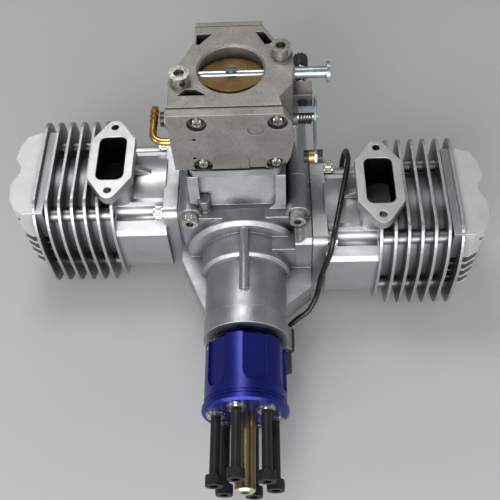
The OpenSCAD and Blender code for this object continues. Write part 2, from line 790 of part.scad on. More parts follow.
module throttle_plate() {
    color([0.75, 0.6, 0.32]) throttle_tilted() difference() {
        translate([0, 0, -disc_t / 2]) cylinder(r = throttle_plate_r, h = disc_t);
        translate([0, 0, -10]) cylinder(r = 1.25, h = 20);
    }
}

module throttle_screw() {
    color([0.72, 0.76, 0.78]) throttle_tilted() plate_screw(throttle_shaft_r + 0.02);
}

module throttle_lever() {
    color([0.7, 0.76, 0.78]) difference() {
        union() {
            slab_x([[throat_y + 5, throttle_z - 5], [throat_y + 5, throttle_z + 3],
                [throat_y - 2, throttle_z + 17], [throat_y - 10, throttle_z + 17],
                [throat_y - 6, throttle_z + 3], [link_y - 2, link_z + 4], [link_y - 4, link_z],
                [link_y - 2, link_z - 4], [link_y + 3, link_z - 4]], lever_x, lever_x + lever_t);
            // Tab that the idle screw's tip meets
            box([idle_x - 2.2, throat_y - 10, idle_z - 1.8],
                [lever_x + eps, throat_y - 8.8, idle_z + 1.8]);
        }
        translate([0, throat_y, throttle_z]) rod_x(2.02, 30, 50);
        translate([0, link_y, link_z]) rod_x(2.02, 30, 50);
    }
}

module throttle_link() {
    translate([0, link_y, link_z]) {
        color([0.1, 0.1, 0.1]) rod_x(2, 32.5, lever_x + lever_t + eps);
        color([0.1, 0.1, 0.1]) rod_x(3.6, lever_x + lever_t, lever_x + lever_t + 3);
        color([0.75, 0.58, 0.25]) difference() {
            rod_x(3.4, lever_x - 3, lever_x);
            rod_x(2, lever_x - 4, lever_x + 1);
        }
        color([0.1, 0.1, 0.1]) difference() {
            rod_x(3.4, lever_x - 5.5, lever_x - 3);
            rod_x(2, lever_x - 6, lever_x);
        }
    }
}

module throttle_spring() {
    color([0.7, 0.71, 0.72]) translate([30.15, throat_y, throttle_z]) rotate([0, 90, 0])
        coil_spring(4.2, 0.5, 7.2, 5);
}

module idle_screw() {
    color([0.1, 0.1, 0.1]) translate([idle_x, 0, idle_z]) difference() {
        union() {
            rod_y(2, throat_y - 8.2, 38);
            rod_y(3.9, 36, 44);
        }
        for (a = [0:30:330]) rotate([0, a, 0]) translate([0, 0, 3.9]) rod_y(0.5, 35, 45);
    }
}

module idle_spring() {
    color([0.7, 0.71, 0.72]) translate([idle_x, 22.5, idle_z]) rotate([-90, 0, 0])
        coil_spring(2.9, 0.45, 13, 7);
}

// Cylinders, written for the right-hand side; the left one is its mirror image

module at_cylinder(side) {
    translate([0, -side * cyl_offset, 0]) mirror([side > 0 ? 0 : 1, 0, 0]) children();
}

head_profile = [[110, -29], [121, -29], [126.5, -25.5], [129.6, -19], [head_end, -8.5], [head_end - 4, 0],
    [head_end - 4, 4.5], [head_end - 0.3, 10.5], [129.4, 20], [126, 26.5], [119, 29.5], [110, 29.5]];
head_side = [[100, -29], [117, -29], [124, -22], [128.5, -11], [head_end, 2], [head_end, 31], [100, 31]];
exhaust_half_w = 12.25;
exhaust_end_r = 5.1;
bulge_y = 32.5;
bulge_outline = concat(arc_points([-bulge_y + 5, -16.3], 5, 5, 180, 270, 5),
    arc_points([bulge_y - 5, -16.3], 5, 5, 270, 360, 5),
    [[bulge_y, 12.6], [bulge_y - 1.6, 15.2], [18, 24.6], [-18, 24.6], [-bulge_y + 1.6, 15.2], [-bulge_y, 12.6]]);
key_tube_r = 3.6;
key_hole_r = 2.3;
fin_start = fin_end - (fin_count - 1) * fin_pitch - fin_t;
plug_x = 99;
plug_y = 4;
plug_tilt = 60;
plug_seat = 15.5;
plug_thread_r = 5;

module at_plug() {
    translate([plug_x, plug_y, 0]) rotate([0, 0, plug_tilt]) rotate([0, 90, 0]) children();
}

module exhaust_outline() {
    polygon([[exhaust_half_w, -13.5], [exhaust_half_w, 13.5], [4.4, 25], [-4.4, 25], [-exhaust_half_w, 13.5],
        [-exhaust_half_w, -13.5], [-4.4, -25], [4.4, -25]]);
    for (s = [-1, 1]) translate([0, s * port_hole_gap / 2]) circle(exhaust_end_r);
}

// Outline of a fin: a long soft corner at the front top, tighter ones elsewhere
fin_shift = 0.8;
function fin_outline(trim) = let(a = fin_y - trim, b = fin_z - trim)
    shifted(concat(arc_points([a - 9.5, b - 9.5], 9.5, 9.5, 0, 90, 6),
        arc_points([-a + 17.5, 0], 17.5, b, 90, 180, 12),
        arc_points([-a + 14, -b + 14], 14, 14, 180, 270, 7),
        arc_points([a - 14, -b + 14], 14, 14, 270, 360, 7)), fin_shift, 0);

module cylinder_fins() {
    for (i = [0:fin_count - 1]) {
        x1 = fin_end - i * fin_pitch;
        slab_x(fin_outline(i == fin_count - 1 ? 2.5 : 0), x1 - fin_t, x1);
    }
    // Tubes between the fins, in line with the base screws, that lead the key in
    at_base_screws() rod_x(key_tube_r, fin_start, fin_end);
}

module at_base_screws() {
    for (sy = [-1, 1], sz = [-1, 1]) translate([0, sy * base_screw_y, sz * base_screw_z]) children();
}

module head_casting() {
    intersection() {
        union() {
            slab_z(head_profile, 9, 31);
            for (z = [2:-7:-26]) slab_z(head_profile, z, z + 1.8);
            slab_x(round_rect(22, 24, 12), 110, 124);
        }
        slab_x([[-30, 32], [-30, -18], [-22, -30], [22, -30], [30, -18], [30, 32]], 100, head_end + 4);
        slab_y(head_side, -40, 40);
    }
}

module cylinder_casting() {
    difference() {
        union() {
            rod_x(spigot_r, spigot_x, flange_x0 + 1);
            slab_x(round_rect(flange_y, flange_z, flange_round), flange_x0, flange_x1);
            rod_x(barrel_r, flange_x1 - 1, 112);
            slab_x(bulge_outline, flange_x1 - 1, fin_start + 0.5);
            cylinder_fins();
            head_casting();
            // Exhaust neck, flange and gusset
            translate([port_x, 0, 0]) {
                slab_z(round_rect(10.5, 19.5, 5), 18, port_z - 5);
                translate([0, 0, port_z - 5.5]) linear_extrude(5.5) exhaust_outline();
            }
            slab_y([[flange_x1 + 5, 26], [port_x - 8, 24], [port_x - 8, port_z - 6], [flange_x1 + 6.5, 28.5]],
                -1.5, 1.5);
        }
        rod_x(bore_r, spigot_x - 1, head_in);
        rod_x(bore_r - 3, head_in - eps, head_in + 5.5, 10);
        translate([port_x, 0, 0]) {
            slab_z(round_rect(port_w / 2, port_l / 2, 4), 12, port_z + 1);
            for (s = [-1, 1]) translate([0, s * port_hole_gap / 2, port_z - 6.5])
                cylinder(r = port_hole_r, h = 10);
        }
        // Transfer passages in the front and rear bulges
        for (s = [-1, 1]) box([flange_x1, s * 26 - 2.5, -12], [crown_x + 4.5, s * 26 + 2.5, 12]);
        at_base_screws() {
            rod_x(m5_r + m5_clear, case_x, flange_x1 + 1);
            rod_x(m5_head_r + 0.4, flange_x1, fin_start - 0.5);
            rod_x(key_hole_r, fin_start - 1, head_end + 5);
        }
        at_plug() {
            translate([0, 0, -4]) cylinder(r = plug_thread_r + 0.02, h = plug_seat + 5);
            translate([0, 0, plug_seat]) cylinder(r = 11, h = 50);
        }
    }
}

module cylinder_left() {
    color([0.76, 0.77, 0.78]) at_cylinder(-1) cylinder_casting();
}

module cylinder_right() {
    color([0.76, 0.77, 0.78]) at_cylinder(1) cylinder_casting();
}

module base_screws() {
    color([0.8, 0.8, 0.78]) for (side = [-1, 1]) at_cylinder(side)
        for (sy = [-1, 1], sz = [-1, 1]) translate([flange_x1, sy * base_screw_y, sz * base_screw_z])
            rotate([0, 0, 90]) socket_screw(m5_r, m5_head_r, m5_head_h, flange_x1 - case_x + 6);
}

module plug_shells() {
    color([0.7, 0.7, 0.69]) for (side = [-1, 1]) at_cylinder(side) at_plug() {
        difference() {
            union() {
                translate([0, 0, 2]) cylinder(r = plug_thread_r, h = plug_seat);
                translate([0, 0, plug_seat]) cylinder(r = 8, h = 2);
                translate([0, 0, plug_seat + 2]) cylinder(r = 8, h = 7, $fn = 6);
                translate([0, 0, plug_seat + 9]) cylinder(r = 6.6, h = 2);
            }
            translate([0, 0, 1]) cylinder(r = 3.4, h = 60);
        }
        translate([0, 0, plug_seat + 27]) cylinder(r = 3, h = 4);
        translate([0, 0, -0.5]) cylinder(r = 1, h = 2.5);
    }
}

module plug_insulators() {
    color([0.92, 0.91, 0.88]) for (side = [-1, 1]) at_cylinder(side) at_plug() {
        translate([0, 0, 2]) cylinder(r = 3.4, h = plug_seat + 10);
        translate([0, 0, plug_seat + 11]) cylinder(r = 4.6, h = 4);
        translate([0, 0, plug_seat + 15 - eps]) cylinder(r1 = 4.6, r2 = 3.2, h = 12 + eps);
    }
}

// Pistons, rods and crank

module piston() {
    skirt_x = web_r + 1.6;
    difference() {
        union() {
            difference() {
                rod_x(piston_r, skirt_x, crown_x);
                rod_x(piston_r - 3, skirt_x - 1, crown_x - 5);
            }
            translate([wrist_x, 0, 0]) rod_y(wrist_r + 3.5, -piston_r + 2, piston_r - 2);
        }
        box([0, -rod_w / 2 - 1, -piston_r + 3.2], [crown_x - 5, rod_w / 2 + 1, piston_r - 3.2]);
        translate([wrist_x, 0, 0]) rod_y(wrist_r + 0.02, -40, 40);
        for (x = [crown_x - 4, crown_x - 7.5]) difference() {
            rod_x(piston_r + 1, x, x + 1.6);
            rod_x(piston_r - 2, x - 1, x + 3);
        }
    }
}

module piston_rings() {
    for (x = [crown_x - 4, crown_x - 7.5]) difference() {
        rod_x(piston_r, x + 0.05, x + 1.55);
        rod_x(piston_r - 1.9, x - 1, x + 3);
        translate([0, 0, -30]) box([x - 1, -0.3, 0], [x + 3, 0.3, 30]);
    }
}

module wrist_pin() {
    translate([wrist_x, 0, 0]) ring_y(wrist_r, wrist_r - 2.2, -piston_r + 3, piston_r - 3);
}

module conrod() {
    h = rod_w / 2;
    difference() {
        union() {
            translate([wrist_x, 0, 0]) rod_y(wrist_r + 3, -h, h);
            translate([-crank_r, 0, 0]) rod_y(bigend_r, -h, h);
            slab_y([[-crank_r, -8], [wrist_x, -4.6], [wrist_x, 4.6], [-crank_r, 8]], -3.2, 3.2);
        }
        translate([wrist_x, 0, 0]) rod_y(wrist_r + run_fit, -h - 1, h + 1);
        translate([-crank_r, 0, 0]) rod_y(needle_r, -h - 1, h + 1);
        for (s = [-1, 1]) slab_y([[-crank_r + bigend_r + 3, -4.2], [wrist_x - wrist_r - 6, -2.6],
            [wrist_x - wrist_r - 6, 2.6], [-crank_r + bigend_r + 3, 4.2]], s * 3.2 - 1.5, s * 3.2 + 1.5);
    }
}

module needle_rollers() {
    translate([-crank_r, 0, 0]) for (a = [0:30:330]) rotate([0, a, 0])
        translate([crankpin_r + roller_r + 0.05, 0, 0]) rod_y(roller_r, -rod_w / 2 + 1, rod_w / 2 - 1);
}

module crankpin() {
    translate([-crank_r, 0, 0]) rod_y(crankpin_r, -rod_w / 2, rod_w / 2);
}

module piston_left() { color([0.7, 0.71, 0.72]) at_cylinder(-1) piston(); }
module piston_right() { color([0.7, 0.71, 0.72]) at_cylinder(1) piston(); }
module piston_rings_left() { color([0.35, 0.35, 0.36]) at_cylinder(-1) piston_rings(); }
module piston_rings_right() { color([0.35, 0.35, 0.36]) at_cylinder(1) piston_rings(); }
module wrist_pin_left() { color([0.6, 0.6, 0.62]) at_cylinder(-1) wrist_pin(); }
module wrist_pin_right() { color([0.6, 0.6, 0.62]) at_cylinder(1) wrist_pin(); }
module conrod_left() { color([0.5, 0.5, 0.52]) at_cylinder(-1) conrod(); }
module conrod_right() { color([0.5, 0.5, 0.52]) at_cylinder(1) conrod(); }
module needle_rollers_left() { color([0.6, 0.6, 0.62]) at_cylinder(-1) needle_rollers(); }
module needle_rollers_right() { color([0.6, 0.6, 0.62]) at_cylinder(1) needle_rollers(); }
module crankpin_left() { color([0.6, 0.6, 0.62]) at_cylinder(-1) crankpin(); }
module crankpin_right() { color([0.6, 0.6, 0.62]) at_cylinder(1) crankpin(); }

module crankshaft_front() {
    color([0.55, 0.55, 0.57]) {
        rod_y(web_r, -web_out, -web_in);
        rod_y(shaft_r, -hub_front + 16, -web_out + eps);
        rod_y(shaft_r + 1.6, -bearing_y + 0.05, -web_out + eps);
    }
}

module crank_centre_web() {
    color([0.55, 0.55, 0.57]) rod_y(web_r, -centre_web_y, centre_web_y);
}

module crankshaft_rear() {
    color([0.55, 0.55, 0.57]) {
        rod_y(web_r, web_in, web_out);
        rod_y(shaft_r, web_out - eps, bearing_y + bearing_w);
        rod_y(shaft_r + 1.6, web_out - eps, bearing_y - 0.05);
    }
}

// Deep-groove ball bearings: outer radius, width and first face of each
bearings = [[bearing_or, bearing_w, -bearing_y - bearing_w], [bearing_or, bearing_w, bearing_y],
    [front_bearing_or, front_bearing_w, -nose_y + 0.5]];
function ball_r(b) = (b[0] - shaft_r) * 0.27;
function race_r(b) = (b[0] + shaft_r) / 2;

module bearing_ring(b, outer) {
    r_in = outer ? race_r(b) + ball_r(b) * 0.45 : shaft_r;
    r_out = outer ? b[0] : race_r(b) - ball_r(b) * 0.45;
    translate([0, b[2] + b[1] / 2, 0]) rotate([-90, 0, 0]) rotate_extrude() difference() {
        translate([r_in, -b[1] / 2]) square([r_out - r_in, b[1]]);
        translate([race_r(b), 0]) circle(ball_r(b) + run_fit);
    }
}

module bearing_outer_rings() {
    color([0.62, 0.62, 0.64]) for (b = bearings) bearing_ring(b, true);
}

module bearing_inner_rings() {
    color([0.62, 0.62, 0.64]) for (b = bearings) bearing_ring(b, false);
}

module bearing_balls() {
    color([0.7, 0.7, 0.72]) for (b = bearings) translate([0, b[2] + b[1] / 2, 0])
        for (a = [0:45:315]) rotate([0, a, 0]) translate([race_r(b), 0, 0]) sphere(ball_r(b));
}

module shaft_seal() {
    y1 = -bearing_y - bearing_w;
    color([0.15, 0.12, 0.1]) ring_y(seal_or, shaft_r + 0.1, y1 - 6.5, y1 - 0.3);
}

// Propeller hub

hub_back = nose_y + hub_gap;
flange_r = hub_r + 1.1;

module at_prop_bolts() {
    for (i = [0:5]) rotate([0, -44.4 - 60 * i, 0]) translate([prop_pcd / 2, -hub_front, 0]) children();
}

module prop_hub() {
    color([0.06, 0.09, 0.42]) difference() {
        union() {
            rod_y(hub_r, -hub_front + 2.5, -hub_back);
            rod_y(flange_r, -hub_front + 1.2, -hub_front + 3.4);
            rod_y(flange_r - 1.2, -hub_front, -hub_front + 1.2 + eps, flange_r);
            rod_y(shaft_r + 3, -hub_back - 1, -nose_y + 0.5);
        }
        rod_y(shaft_r + 0.02, -hub_front + 16, -nose_y + 1);
        rod_y(stud_thread_r + 0.02, -hub_front - 1, -hub_front + 14);
        at_prop_bolts() rod_y(prop_bolt_r + 0.02, -1, 13);
        for (i = [0:5]) rotate([0, -74.4 - 60 * i, 0]) {
            translate([hub_r - 2.2, -hub_front + 16.5, 0]) rod_x(6.3, 0, 10);
            box([hub_r - 2.2, -hub_front + 16.5, -6.3], [hub_r + 8, -hub_back + 1, 6.3]);
        }
        for (y = [3.9, 5.5]) translate([0, -hub_front + y, 0]) difference() {
            rod_y(hub_r + 3, 0, 0.6);
            rod_y(hub_r - 0.4, -1, 2);
        }
        magnet_place() rod_x(magnet_r + 0.02, 0, 10);
    }
}

// The magnet sits in the hub's rim and passes the sensor 30 degrees before the pistons' outer ends
magnet_angle = -160;
magnet_r = 2;
magnet_l = 4;

module magnet_place() {
    rotate([0, magnet_angle, 0]) translate([hub_r - magnet_l - 0.3, -hub_back - 2.6, 0]) children();
}

module hub_magnet() {
    color([0.6, 0.6, 0.62]) magnet_place() rod_x(magnet_r, 0, magnet_l);
}

washer_t = 1;
spring_washer_t = 1.3;
stud_thread_r = stud_r - 1;

module prop_bolts() {
    color([0.09, 0.09, 0.1]) at_prop_bolts() translate([0, -prop_bolt_out + m5_head_h, 0])
        socket_screw(prop_bolt_r, m5_head_r, m5_head_h, prop_bolt_out - m5_head_h + 12);
}

module prop_washers() {
    color([0.78, 0.77, 0.75]) at_prop_bolts() {
        ring_y(5, prop_bolt_r + 0.1, -washer_t, 0);
        ring_y(4.4, prop_bolt_r + 0.1, -washer_t - spring_washer_t, -washer_t);
    }
}

module centre_stud() {
    out = prop_bolt_out + 2;
    color([0.72, 0.62, 0.32]) difference() {
        union() {
            rod_y(stud_r, -hub_front - out + 1, -hub_front);
            rod_y(stud_thread_r, -hub_front - 1, -hub_front + 13);
            rod_y(stud_r - 1, -hub_front - out, -hub_front - out + 1 + eps, stud_r);
        }
        rod_y(2.1, -hub_front - out - 1, -hub_front - out + 6);
    }
}

// Ignition sensor and its lead

module ignition_sensor() {
    color([0.1, 0.1, 0.11]) sensor_place() difference() {
        union() {
            box([-sensor_half, -3.5, 0], [sensor_half, 10, sensor_foot_t]);
            box([-5, -13, 0], [5, 4, 7]);
        }
        for (s = [-1, 1]) translate([s * sensor_screw_x, 0, -1]) cylinder(r = 1.5, h = 10);
    }
}

// Route of the lead: from the sensor under the right flank, over the right cylinder between the case
// and the exhaust, down behind it and along the bench
lead_r = 1.5;
lead_route = [[18.9, -75, -22.5], [18.9, -73, -22.5], [18.9, -71, -22.5], [21.5, -65, -22],
    [27.5, -60, -19.8], [34.5, -56, -16.5], [39.3, -50, -9], [41, -46.5, 2], [43.3, -45, 13], [45.8, -42.8, 22.8],
    [47.5, -37.3, 30.3], [50.3, -25.5, 32], [53, -13, 33.5], [56, 0.5, 34], [58, 11.5, 33], [57.9, 20, 30],
    [57.5, 25.5, 23], [57, 28, 12], [57.5, 29.5, 0], [60, 31, -12], [64, 33.5, -24], [69, 38, -31.5],
    [76, 44.5, -34.8], [84, 49, -34.9], [92, 51, -34.9], [99, 51, -34.9], [106, 51, -34.9]];

// A smooth curve through the route's points
function spline_at(p, i, t) = let(a = p[max(i - 1, 0)], b = p[i], c = p[i + 1], d = p[min(i + 2, len(p) - 1)])
    0.5 * (2 * b + (c - a) * t + (2 * a - 5 * b + 4 * c - d) * t * t + (3 * b - a - 3 * c + d) * t * t * t);
function smooth(p, n) = [for (i = [0:len(p) - 2]) for (k = [0:n - 1]) spline_at(p, i, k / n), p[len(p) - 1]];
function unit(v) = v / norm(v);
function across(n, t) = unit(n - (n * t) * t);
function carried(dirs, i, n) = i == len(dirs) ? [] :
    let(m = across(n, dirs[i])) concat([m], carried(dirs, i + 1, m));

module tube(path, r, n) {
    last = len(path) - 1;
    dirs = [for (i = [0:last]) unit(path[min(i + 1, last)] - path[max(i - 1, 0)])];
    sides = carried(dirs, 0, [0, 0, 1]);
    points = [for (i = [0:last]) for (k = [0:n - 1])
        path[i] + r * (cos(360 * k / n) * sides[i] + sin(360 * k / n) * cross(dirs[i], sides[i]))];
    faces = [for (i = [0:last - 1]) for (k = [0:n - 1]) let(a = i * n + k, b = i * n + (k + 1) % n)
        [a, a + n, b + n, b]];
    polyhedron(points, capped(faces, last, n));
}

module sensor_lead() {
    color([0.07, 0.07, 0.07]) tube(smooth(lead_route, 2), lead_r, 8);
}

module lead_connector() {
    end = lead_route[len(lead_route) - 1];
    color([0.1, 0.1, 0.1]) translate(end) difference() {
        union() {
            box([0, -4.2, -lead_r], [14, 4.2, 2.2]);
            box([2, -2, 2.2 - eps], [8, 2, 3]);
        }
        for (y = [-2.54, 0, 2.54]) box([6, y - 0.5, -0.3], [15, y + 0.5, 0.7]);
    }
}

from_mount() crankcase_front();
from_mount() crankcase_rear();
from_mount() case_screws();
from_mount() standoffs();
from_mount() case_gaskets();
from_mount() reed_cage();
from_mount() reed_petals();
from_mount() adapter_plate();
from_mount() carb_gaskets();
from_mount() carb_body();
from_mount() pump_cover();
from_mount() metering_cover();
from_mount() carb_cover_screws();
from_mount() fuel_elbow();
from_mount() carb_mount_screws();
from_mount() choke_shaft();
from_mount() choke_plate();
from_mount() choke_screw();
from_mount() throttle_shaft();
from_mount() throttle_plate();
from_mount() throttle_screw();
from_mount() throttle_lever();
from_mount() throttle_link();
from_mount() throttle_spring();
from_mount() idle_screw();
from_mount() idle_spring();
from_mount() cylinder_left();
from_mount() cylinder_right();
from_mount() base_screws();
from_mount() plug_shells();
from_mount() plug_insulators();
from_mount() piston_left();
from_mount() piston_right();
from_mount() piston_rings_left();
from_mount() piston_rings_right();
from_mount() wrist_pin_left();
from_mount() wrist_pin_right();
from_mount() conrod_left();
from_mount() conrod_right();
from_mount() needle_rollers_left();
from_mount() needle_rollers_right();
from_mount() crankpin_left();
from_mount() crankpin_right();
from_mount() crankshaft_front();
from_mount() crank_centre_web();
from_mount() crankshaft_rear();
from_mount() bearing_outer_rings();
from_mount() bearing_inner_rings();
from_mount() bearing_balls();
from_mount() shaft_seal();
from_mount() prop_hub();
from_mount() hub_magnet();
from_mount() prop_bolts();
from_mount() prop_washers();
from_mount() centre_stud();
from_mount() ignition_sensor();
from_mount() sensor_lead();
from_mount() lead_connector();
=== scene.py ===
import bpy
import bmesh
import json
import math
from mathutils import Matrix, Vector

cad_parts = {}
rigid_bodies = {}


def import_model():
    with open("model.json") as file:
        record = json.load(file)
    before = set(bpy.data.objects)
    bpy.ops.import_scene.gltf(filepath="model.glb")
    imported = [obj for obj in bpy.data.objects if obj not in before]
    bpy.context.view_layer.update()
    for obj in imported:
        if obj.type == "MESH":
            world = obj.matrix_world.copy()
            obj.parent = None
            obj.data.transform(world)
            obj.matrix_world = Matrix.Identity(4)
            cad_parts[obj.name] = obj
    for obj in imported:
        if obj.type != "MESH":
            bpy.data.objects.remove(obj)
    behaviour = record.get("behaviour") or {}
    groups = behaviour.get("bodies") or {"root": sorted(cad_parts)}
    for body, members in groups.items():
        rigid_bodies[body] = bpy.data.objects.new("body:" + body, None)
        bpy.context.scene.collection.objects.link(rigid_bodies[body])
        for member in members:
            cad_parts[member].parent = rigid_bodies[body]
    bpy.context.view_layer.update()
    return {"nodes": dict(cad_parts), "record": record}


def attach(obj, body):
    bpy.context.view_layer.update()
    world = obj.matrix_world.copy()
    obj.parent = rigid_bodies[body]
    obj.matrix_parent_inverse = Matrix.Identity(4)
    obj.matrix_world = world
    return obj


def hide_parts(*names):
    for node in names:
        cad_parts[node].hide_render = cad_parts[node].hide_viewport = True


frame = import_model()
cad = frame["nodes"]
slot_of = {part["node"]: part["material_slot"] for part in frame["record"]["subparts"]}

# Places on the engine that looks and small parts are lined up with, in metres
MOUNT = 0.062                           # mounting face to the middle plane between the cylinders
CYL_OFFSET = 0.010                      # that plane to each cylinder's axis
BENCH = -0.0365                         # the corner tubes rest on the bench
LIP_Y, LIP_HALF = -0.0726 - MOUNT, 0.00035              # lip on the nose where a highlight is painted, and half the painted band's width
BARREL_END_X, HEAD_START_X = 0.1158, 0.1166             # between these the barrel's tone turns to the head's
MILLED_Z = 0.0417                       # only the exhaust flanges' milled faces stand above this
PORT_X, PORT_HALF_X, PORT_HALF_Y = 0.0727, 0.0079, 0.0155
PORT_SHADE_FULL_Z, PORT_SHADE_END_Z = 0.0405, 0.0415        # painted shade inside the ports fades out between these
STUD_END_Y = -0.2229                    # the centre rod's end face lies beyond this
SHAFT_CAP_X = -0.0335                   # the throttle shaft's black cap starts here
BUSH_X, BUSH_HALF = 0.0365, 0.0015      # brass bush on the throttle link

# Camera, as fitted to the photograph: turns in degrees, sensor and focal length in millimetres
PHOTO_PITCH, PHOTO_YAW, PHOTO_ROLL = 33.302, 3.714, -4.354
PHOTO_AIM = (0.0021, -0.0253 - MOUNT, 0.0)
PHOTO_DISTANCE = 0.44006
PHOTO_SENSOR, PHOTO_LENS = 36.0, 55.78


def photo_camera():
    pitch, yaw, roll = (math.radians(angle) for angle in (PHOTO_PITCH, PHOTO_YAW, PHOTO_ROLL))
    turn = Matrix.Rotation(yaw, 3, "Z")
    forward = turn @ Vector((0, math.sin(pitch), -math.cos(pitch)))
    up = turn @ Vector((0, math.cos(pitch), math.sin(pitch)))
    right = turn @ Vector((1, 0, 0))
    rolled_right = right * math.cos(roll) + up * math.sin(roll)
    rolled_up = up * math.cos(roll) - right * math.sin(roll)
    data = bpy.data.cameras.new("photo_camera")
    data.sensor_width = PHOTO_SENSOR
    data.lens = PHOTO_LENS
    camera = bpy.data.objects.new("photo_camera", data)
    place = Matrix((rolled_right, rolled_up, -forward)).transposed().to_4x4()
    place.translation = Vector(PHOTO_AIM) - forward * PHOTO_DISTANCE
    camera.matrix_world = place
    bpy.context.scene.collection.objects.link(camera)
    bpy.context.scene.camera = camera


photo_camera()


# Node trees

class Tree:
    """A node tree under construction."""

    def node(self, kind, given=None, **settings):
        """Adds a node, with its settings, and its inputs from a dictionary."""
        made = self.tree.nodes.new(kind)
        for key, value in settings.items():
            setattr(made, key, value)
        for key, value in (given or {}).items():
            self.feed(made.inputs[key], value)
        return made

    def feed(self, socket, value):
        """Links an output to the socket, or gives it a value. A colour is three numbers."""
        if isinstance(value, bpy.types.NodeSocket):
            self.tree.links.new(value, socket)
        elif socket.type == "RGBA":
            socket.default_value = (*value, 1.0)
        else:
            socket.default_value = value

    def math(self, kind, a, b=0.0):
        return self.node("ShaderNodeMath", {0: a, 1: b}, operation=kind).outputs[0]


# Materials

class Shader(Tree):
    """One material, from its noises to its surface. Places are the engine's own, in metres."""

    EDGE_RADIUS = 0.0005
    WHITE = (1.0, 1.0, 1.0)

    def __init__(self, name):
        self.material = bpy.data.materials.new(name)
        self.material.use_nodes = True
        self.tree = self.material.node_tree
        self.bsdf = self.tree.nodes["Principled BSDF"]
        self.coords = self.node("ShaderNodeTexCoord").outputs["Object"]

    def mapped(self, scale):
        """Coordinates scaled by axis, which draws a noise out into streaks or tool marks."""
        return self.node("ShaderNodeMapping", {"Scale": scale, "Vector": self.coords}).outputs["Vector"]

    def noise(self, scale, detail=2.0, rough=0.5, vector=None):
        made = self.node("ShaderNodeTexNoise", {"Scale": scale, "Detail": detail, "Roughness": rough,
                                                "Vector": vector or self.coords})
        return made.outputs["Fac"]

    def marks(self, *scale):
        return self.noise(1.0, 3, 0.6, self.mapped(scale))

    def ramp(self, value, low, high, a, b):
        """Goes from a to b as the value goes from low to high, and no further."""
        made = self.node("ShaderNodeMapRange",
                         {"Value": value, "From Min": low, "From Max": high, "To Min": a, "To Max": b})
        return made.outputs["Result"]

    def mix(self, factor, a, b, blend="MIX"):
        made = self.node("ShaderNodeMix", {0: factor, 6: a, 7: b}, data_type="RGBA", blend_type=blend)
        return made.outputs[2]

    def drift(self, field, a, b, low=0.3, high=0.7):
        """Colour a where the field is low, colour b where it is high."""
        return self.mix(self.ramp(field, low, high, 0.0, 1.0), a, b)

    def axis(self, name):
        return self.node("ShaderNodeSeparateXYZ", {0: self.coords}).outputs[name]

    def edges(self, radius):
        """The normal with its edges rounded off."""
        return self.node("ShaderNodeBevel", {"Radius": radius}, samples=4).outputs["Normal"]

    def painted_edge_highlight(self, radius):
        """0 on flat and gently curved surfaces, 1 along sharp edges: where a highlight is painted."""
        flat = self.node("ShaderNodeNewGeometry").outputs["Normal"]
        bent = self.node("ShaderNodeVectorMath", {0: self.edges(radius), 1: flat}, operation="DOT_PRODUCT")
        return self.ramp(bent.outputs["Value"], 0.985, 0.88, 0.0, 1.0)

    def shade_mask(self, reach):
        """1 on open surfaces, 0 deep in gaps and corners, from ambient occlusion: where painted shade goes."""
        made = self.node("ShaderNodeAmbientOcclusion", {"Distance": reach}, samples=8)
        return self.ramp(made.outputs["AO"], 0.2, 0.85, 0.0, 1.0)

    def within(self, axis, middle, half):
        """1 where that coordinate is within half of the middle."""
        away = self.math("ABSOLUTE", self.math("SUBTRACT", axis, middle))
        return self.math("LESS_THAN", away, half)

    def paint_shade_and_highlights(self, colour, reach, depth, bright=None):
        """Paints shade into gaps and corners, and paints highlights along open sharp edges where a bright tone is
        given.
        """
        open_air = self.shade_mask(reach)
        # painted shade: the colour is multiplied down towards depth deep in gaps and corners
        dim = self.mix(open_air, (depth, depth, depth), self.WHITE)
        dimmed = self.mix(1.0, colour, dim, "MULTIPLY")
        if not bright:
            return dimmed
        # painted highlight: the bright tone laid along sharp edges that stand in the open
        edge_highlight_mask = self.math("MULTIPLY", self.painted_edge_highlight(self.EDGE_RADIUS), self.math("MULTIPLY", open_air, 0.85))
        return self.mix(edge_highlight_mask, dimmed, bright)

    def surface(self, colour, rough, metal=0.0):
        for label, value in (("Base Color", colour), ("Roughness", rough), ("Metallic", metal)):
            self.feed(self.bsdf.inputs[label], value)

    def bump(self, height, strength, distance, before=None):
        """Adds relief, on top of an earlier normal if one is given."""
        made = self.node("ShaderNodeBump", {"Strength": strength, "Distance": distance, "Height": height})
        if before:
            self.feed(made.inputs["Normal"], before)
        self.feed(self.bsdf.inputs["Normal"], made.outputs["Normal"])
        return made.outputs["Normal"]


def scaled(tone, factor):
    return tuple(factor * c for c in tone)


def cast_metal(name, tone, dark, rough=0.42, grain=1900, grain_depth=0.5, lip_y=None):
    """Satin casting: fine blasted grain, cloudy tone, slightly darker pits, painted shade in gaps, painted
    highlights on sharp edges, and a painted highlight along the lip at lip_y.
    """
    s = Shader(name)
    pits = s.noise(grain, 4, 0.65)
    pit_depth = s.ramp(pits, 0.3, 0.5, 0.6, 0.0)
    pitted = s.mix(pit_depth, s.drift(s.noise(55, 3, 0.6), tone, dark), scaled(dark, 0.5))
    # tone of the painted highlights; the next line paints shade into gaps and highlights along sharp edges
    bright = tuple(min(1.0, c) for c in scaled(tone, 1.45))
    colour = s.paint_shade_and_highlights(pitted, 0.009, 0.25, bright)
    if lip_y is not None:
        # painted highlight: a thin bright band across the nose at the lip
        lip = s.math("MULTIPLY", s.within(s.axis("Y"), lip_y, LIP_HALF), 0.8)
        colour = s.mix(lip, colour, bright)
    s.surface(colour, s.ramp(s.noise(140, 3, 0.6), 0.3, 0.7, rough - 0.05, rough + 0.09), 1.0)
    grained = s.bump(pits, grain_depth, 0.00016, before=s.edges(0.0007))
    s.bump(s.noise(260, 2, 0.5), 0.25, 0.0005, before=grained)
    return s.material


